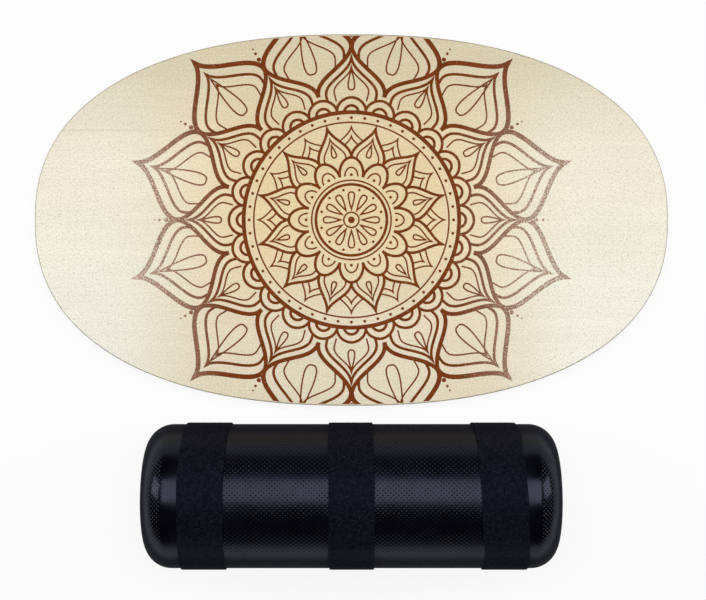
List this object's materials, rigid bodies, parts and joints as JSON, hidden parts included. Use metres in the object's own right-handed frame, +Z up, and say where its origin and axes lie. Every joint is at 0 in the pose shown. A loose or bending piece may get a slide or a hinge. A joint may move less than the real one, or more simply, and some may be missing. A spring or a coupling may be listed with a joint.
{
  "type": "rola bola",
  "caption": "Oval plywood balance board with wooden end stops, lying beside the hollow moulded roller with fabric straps that it balances on.",
  "frame": {"origin": "the floor under the middle of the pair as it lies: the deck towards +Y and the roller towards -Y", "axes": "+X along the deck's long side and the roller's axis, +Y from the roller to the deck, +Z up"},
  "size_m": [0.75, 0.62, 0.1656],
  "materials": {
    "veneer": "clear satin coat with fine grit",
    "long_ply": "sanded edge, grain along the deck",
    "cross_ply": "sanded edge, grain across the deck",
    "stop_wood": "oiled solid wood",
    "zinc": "bright zinc plating",
    "moulding": "satin black moulding with a fine diamond texture",
    "plug": "smooth black moulding",
    "strap_fabric": "napped black loop fabric"
  },
  "bodies": {
    "board": {"back_veneer": "veneer", "cross_ply_lower": "cross_ply", "long_ply_lower": "long_ply", "core_ply": "cross_ply", "long_ply_upper": "long_ply", "cross_ply_upper": "cross_ply", "face_veneer": "veneer", "end_stop_left": "stop_wood", "end_stop_right": "stop_wood", "stop_screw_left_1": "zinc", "stop_screw_left_2": "zinc", "stop_screw_left_3": "zinc", "stop_screw_left_4": "zinc", "stop_screw_right_1": "zinc", "stop_screw_right_2": "zinc", "stop_screw_right_3": "zinc", "stop_screw_right_4": "zinc"},
    "vent_plug": {"vent_plug": "plug"},
    "roller": {"roller_shell": "moulding", "strap_left": "strap_fabric", "strap_middle": "strap_fabric", "strap_right": "strap_fabric"}
  },
  "joints": [
    {"name": "roller_travel", "type": "slide", "parent": "board", "child": "vent_plug", "axis": [0, -1, 0], "range_m": [-0.039, 0.52]},
    {"name": "roller_spin", "type": "hinge", "parent": "vent_plug", "child": "roller", "pos_m": [0, -0.2272, 0.0828], "axis": [1, 0, 0], "range_deg": [-27.5, 360.5]}
  ],
  "couplings": [
    {"joint": "roller_spin", "follows": "roller_travel", "rad_per_m": 12.077}
  ]
}
